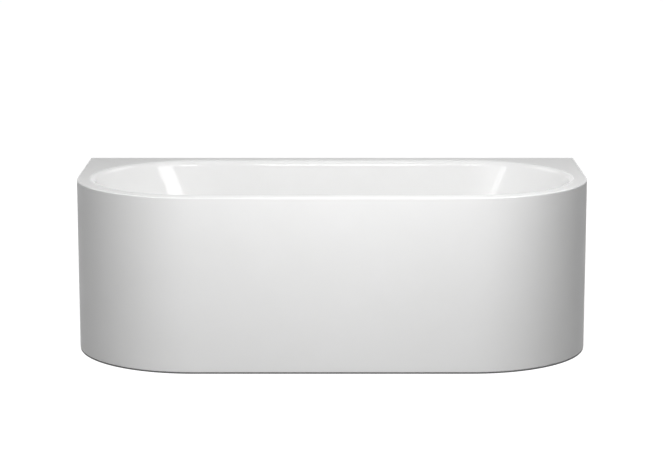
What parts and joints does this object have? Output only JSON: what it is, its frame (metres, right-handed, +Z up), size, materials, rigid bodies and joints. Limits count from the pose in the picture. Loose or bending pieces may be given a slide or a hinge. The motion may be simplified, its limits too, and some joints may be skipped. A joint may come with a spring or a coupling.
{
  "type": "back-to-wall bath",
  "caption": "Back-to-wall bath with a D-shaped skirt, oval basin with sloping ends, pop-up waste opened by a rotary overflow knob, and screw-adjusted feet.",
  "frame": {"origin": "centre of the footprint, on the floor", "axes": "+X to the right along the wall as seen from the room, +Y towards the wall, +Z up"},
  "size_m": [1.7, 0.8, 0.575],
  "materials": {
    "white_enamel": "high gloss white vitreous enamel on steel, dark ground coat beneath",
    "zinc_steel": "satin zinc plate",
    "chrome": "polished",
    "stainless": "satin stainless steel",
    "brass": "satin",
    "black_rubber": "matte",
    "grey_foam": "matte closed-cell strip",
    "bitumen": "matte sound-deadening sheet",
    "white_plastic": "semi-gloss",
    "grey_plastic": "fine texture",
    "foot_plastic": "fine texture",
    "hose_plastic": "flexible, ribbed",
    "cable_sheath": "satin sheath over a steel wire"
  },
  "bodies": {
    "tub": {"tub_shell": "white_enamel", "skirt_panel": "white_enamel", "floor_seal": "black_rubber", "wall_seal_strip": "grey_foam", "sound_mats_floor": "bitumen", "sound_mats_wall": "bitumen", "crossbar_left": "zinc_steel", "crossbar_right": "zinc_steel", "support_pads": "black_rubber", "foot_weld_nuts": "zinc_steel", "foot_lock_nuts": "zinc_steel", "skirt_stay_left": "zinc_steel", "skirt_stay_right": "zinc_steel", "skirt_brackets_front": "zinc_steel", "frame_screws": "zinc_steel", "skirt_nuts": "zinc_steel", "wall_bracket_left": "zinc_steel", "wall_bracket_right": "zinc_steel", "earth_lug": "brass", "waste_flange": "chrome", "waste_flange_gasket": "black_rubber", "waste_body_gasket": "black_rubber", "waste_body": "white_plastic", "rocker_pin": "stainless", "overflow_plate": "chrome", "overflow_screws": "stainless", "overflow_gasket": "black_rubber", "overflow_body": "white_plastic", "cable_drive_cover": "white_plastic", "control_cable": "cable_sheath", "overflow_hose": "hose_plastic", "hose_seals": "black_rubber", "hose_nuts": "grey_plastic", "trap_body": "white_plastic", "trap_baffle": "white_plastic", "trap_cap": "grey_plastic", "trap_cap_seal": "black_rubber", "trap_seals": "black_rubber", "trap_nuts": "grey_plastic", "outlet_pipe": "white_plastic"},
    "knob": {"overflow_knob": "white_enamel", "overflow_spindle": "stainless", "cable_drum": "white_plastic"},
    "cover": {"waste_plug": "white_enamel", "plug_seal": "black_rubber", "plug_stem": "stainless"},
    "rocker": {"lift_rocker": "stainless"},
    "rod": {"push_rod": "stainless"},
    "plate_front_left": {"foot_plate_front_left": "foot_plastic", "foot_pad_front_left": "black_rubber"},
    "stem_front_left": {"foot_stem_front_left": "zinc_steel"},
    "plate_front_right": {"foot_plate_front_right": "foot_plastic", "foot_pad_front_right": "black_rubber"},
    "stem_front_right": {"foot_stem_front_right": "zinc_steel"},
    "plate_rear_left": {"foot_plate_rear_left": "foot_plastic", "foot_pad_rear_left": "black_rubber"},
    "stem_rear_left": {"foot_stem_rear_left": "zinc_steel"},
    "plate_rear_right": {"foot_plate_rear_right": "foot_plastic", "foot_pad_rear_right": "black_rubber"},
    "stem_rear_right": {"foot_stem_rear_right": "zinc_steel"}
  },
  "joints": [
    {"name": "knob_turn", "type": "hinge", "parent": "tub", "child": "knob", "pos_m": [0, -0.32654, 0.48], "axis": [0, -0.9936, -0.1132], "range_deg": [0, 90]},
    {"name": "cover_lift", "type": "slide", "parent": "tub", "child": "cover", "axis": [0, 0, 1], "range_m": [0, 0.012]},
    {"name": "rocker_tilt", "type": "hinge", "parent": "tub", "child": "rocker", "pos_m": [0.014, 0, 0.0515], "axis": [0, 1, 0], "range_deg": [0, 45.57]},
    {"name": "rod_push", "type": "slide", "parent": "tub", "child": "rod", "axis": [-1, 0, 0], "range_m": [0, 0.01219]},
    {"name": "foot_front_left_extend", "type": "slide", "parent": "tub", "child": "plate_front_left", "axis": [0, 0, -1], "range_m": [0, 0.02]},
    {"name": "foot_front_left_screw", "type": "hinge", "parent": "plate_front_left", "child": "stem_front_left", "pos_m": [-0.3, -0.25, 0.05], "axis": [0, 0, -1], "range_deg": [0, 4801]},
    {"name": "foot_front_right_extend", "type": "slide", "parent": "tub", "child": "plate_front_right", "axis": [0, 0, -1], "range_m": [0, 0.02]},
    {"name": "foot_front_right_screw", "type": "hinge", "parent": "plate_front_right", "child": "stem_front_right", "pos_m": [0.3, -0.25, 0.05], "axis": [0, 0, -1], "range_deg": [0, 4801]},
    {"name": "foot_rear_left_extend", "type": "slide", "parent": "tub", "child": "plate_rear_left", "axis": [0, 0, -1], "range_m": [0, 0.02]},
    {"name": "foot_rear_left_screw", "type": "hinge", "parent": "plate_rear_left", "child": "stem_rear_left", "pos_m": [-0.3, 0.25, 0.05], "axis": [0, 0, -1], "range_deg": [0, 4801]},
    {"name": "foot_rear_right_extend", "type": "slide", "parent": "tub", "child": "plate_rear_right", "axis": [0, 0, -1], "range_m": [0, 0.02]},
    {"name": "foot_rear_right_screw", "type": "hinge", "parent": "plate_rear_right", "child": "stem_rear_right", "pos_m": [0.3, 0.25, 0.05], "axis": [0, 0, -1], "range_deg": [0, 4801]}
  ],
  "couplings": [
    {"joint": "cover_lift", "follows": "knob_turn", "m_per_rad": 0.007639},
    {"joint": "rocker_tilt", "follows": "knob_turn", "ratio": 0.50609},
    {"joint": "rod_push", "follows": "knob_turn", "m_per_rad": 0.007751},
    {"joint": "foot_front_left_screw", "follows": "foot_front_left_extend", "rad_per_m": 4188.8},
    {"joint": "foot_front_right_screw", "follows": "foot_front_right_extend", "rad_per_m": 4188.8},
    {"joint": "foot_rear_left_screw", "follows": "foot_rear_left_extend", "rad_per_m": 4188.8},
    {"joint": "foot_rear_right_screw", "follows": "foot_rear_right_extend", "rad_per_m": 4188.8}
  ]
}
